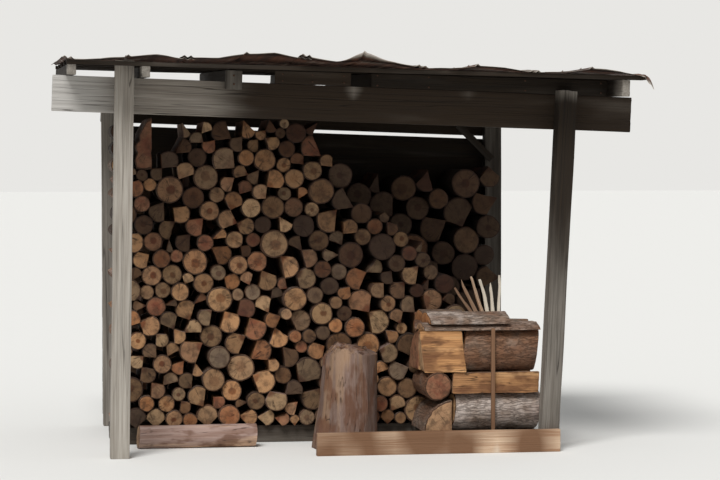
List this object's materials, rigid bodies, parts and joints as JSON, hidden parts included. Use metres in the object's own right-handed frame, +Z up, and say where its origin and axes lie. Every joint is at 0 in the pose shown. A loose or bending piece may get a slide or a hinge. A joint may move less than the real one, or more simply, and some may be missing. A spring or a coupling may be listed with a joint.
{
  "type": "log store",
  "caption": "Open post-and-beam log store with a warped crimped tin roof, firewood stacked in rows, a crib of large splits and a chopping block.",
  "frame": {"origin": "on the ground at the middle of the footprint's bounding box", "axes": "+Z up, +X along the header from left to right, the open front faces -Y"},
  "size_m": [3.1636, 2.2364, 2.1472],
  "materials": {
    "grey_timber": "weathered grey, rough sawn, checked",
    "brown_timber": "weathered brown, rough sawn",
    "wall_boards": "dark weathered boards",
    "rusty_tin": "old crimped roofing tin, rusted, dull",
    "stacked_logs": "split and round firewood, grey and tan ends, brown bark",
    "rear_logs": "older split and round firewood",
    "golden_splits": "fresh golden split faces, brown and grey bark",
    "kindling": "pale thin splits"
  },
  "bodies": {
    "root": {"front_left_post": "grey_timber", "front_right_post": "grey_timber", "rear_left_post": "brown_timber", "rear_right_post": "brown_timber", "front_header": "grey_timber", "rear_beam": "brown_timber", "rafters": "brown_timber", "purlins": "brown_timber", "upper_front_boards": "brown_timber", "header_cleat": "grey_timber", "roof_sheet_1": "rusty_tin", "roof_sheet_2": "rusty_tin", "roof_sheet_3": "rusty_tin", "roof_sheet_4": "rusty_tin", "roof_sheet_5": "rusty_tin", "rear_wall_boards": "wall_boards", "rear_right_brace": "brown_timber", "front_row_logs_1": "stacked_logs", "front_row_logs_2": "stacked_logs", "front_row_logs_3": "stacked_logs", "front_row_logs_4": "stacked_logs", "front_row_logs_5": "stacked_logs", "rear_row_logs_1": "rear_logs", "rear_row_logs_2": "rear_logs", "rear_row_logs_3": "rear_logs", "front_row_bearers": "brown_timber", "rear_row_bearers": "brown_timber", "crib_layer_1": "golden_splits", "crib_layer_2": "golden_splits", "crib_layer_3": "golden_splits", "crib_layer_4": "golden_splits", "crib_layer_5": "golden_splits", "crib_bearers": "brown_timber", "kindling": "kindling", "crib_stake": "brown_timber", "chopping_block": "stacked_logs", "foot_pole": "grey_timber", "front_sill": "brown_timber"}
  },
  "joints": []
}
